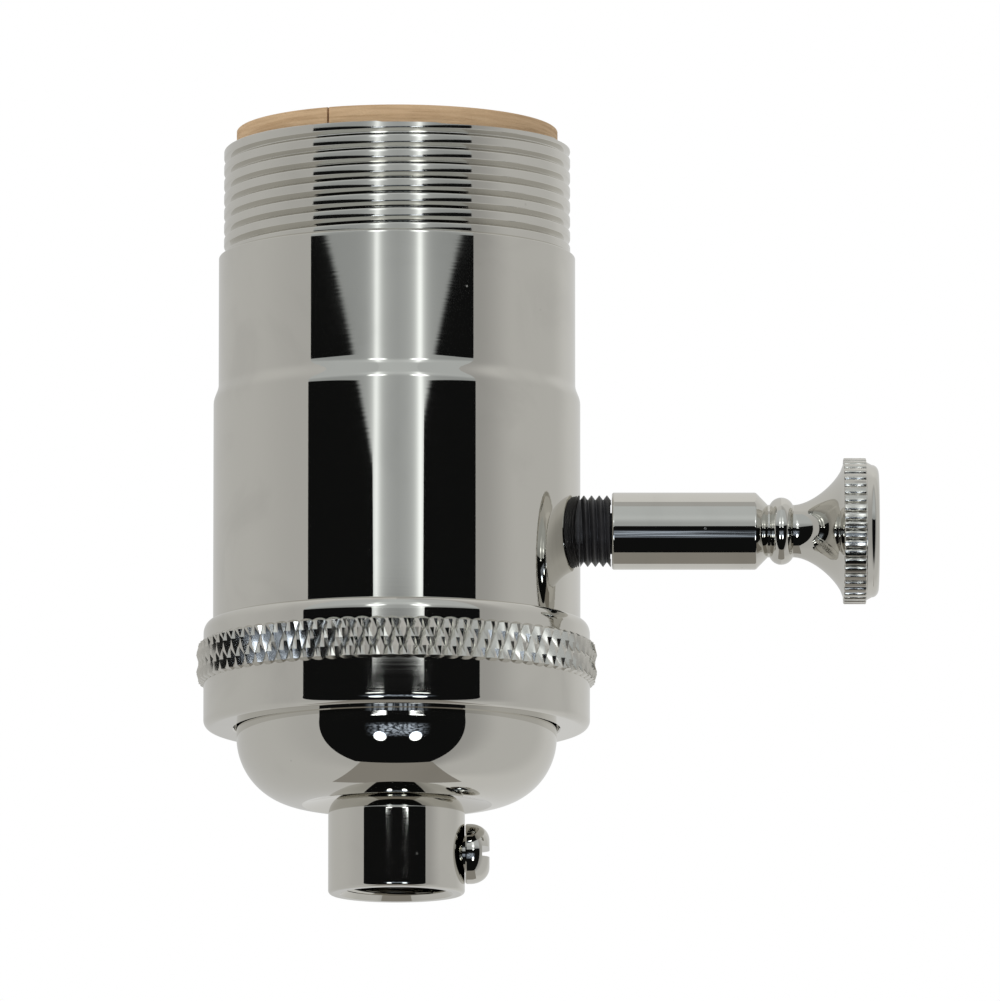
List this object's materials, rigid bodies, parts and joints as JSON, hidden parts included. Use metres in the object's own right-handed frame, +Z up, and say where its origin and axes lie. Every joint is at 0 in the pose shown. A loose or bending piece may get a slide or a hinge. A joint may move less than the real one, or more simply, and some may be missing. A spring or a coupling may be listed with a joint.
{
  "type": "dimmer lamp socket",
  "caption": "Nickel lamp socket with a rotary dimmer built in: threaded casing, knurled ring, domed cap with pipe hub, and a turned knob on a side shaft.",
  "frame": {"origin": "centre of the pipe hub's mouth, where the socket meets the lamp's pipe", "axes": "+Z up along the socket axis towards the lamp, +X along the dimmer shaft towards the knob"},
  "size_m": [0.0648, 0.0382, 0.0733],
  "materials": {
    "polished_nickel": "polished nickel plate on brass",
    "fibre_board": "rolled brown fibre",
    "moulded_insulator": "moulded phenolic",
    "zinc_steel": "zinc plated steel",
    "brass": "rolled sheet brass",
    "phenolic": "phenolic laminate",
    "black_moulding": "black nylon, satin",
    "component_glass": "glossy coat",
    "resistor_coat": "lacquer",
    "capacitor_case": "epoxy filled case",
    "ferrite": "sintered ferrite",
    "enamelled_wire": "enamelled copper wire"
  },
  "bodies": {
    "socket": {"shell": "polished_nickel", "insulating_liner": "fibre_board", "coupling_ring": "polished_nickel", "cap": "polished_nickel", "pipe_hub": "polished_nickel", "set_screw": "polished_nickel", "interior_body": "moulded_insulator", "base_plate": "moulded_insulator", "body_screws": "zinc_steel", "hot_terminal_plate": "brass", "neutral_terminal_plate": "brass", "hot_terminal_screw": "brass", "neutral_terminal_screw": "zinc_steel", "screw_shell": "brass", "centre_contact": "brass", "contact_rivet": "brass", "shell_rivets": "brass", "contact_tab": "brass", "hot_strip": "brass", "neutral_strip": "brass", "circuit_board": "phenolic", "triac": "black_moulding", "diac": "component_glass", "resistor": "resistor_coat", "timing_capacitor": "capacitor_case", "filter_capacitor": "capacitor_case", "choke_core": "ferrite", "choke_winding": "enamelled_wire", "dimmer_housing": "black_moulding", "track_plate": "phenolic", "dimmer_pins": "brass", "threaded_neck": "black_moulding"},
    "dial": {"rotor_shaft": "black_moulding", "wiper": "brass", "knob": "polished_nickel"}
  },
  "joints": [
    {"name": "knob_turn", "type": "hinge", "parent": "socket", "child": "dial", "pos_m": [0.03, 0, 0.0348], "axis": [-1, 0, 0], "range_deg": [0, 300]}
  ]
}
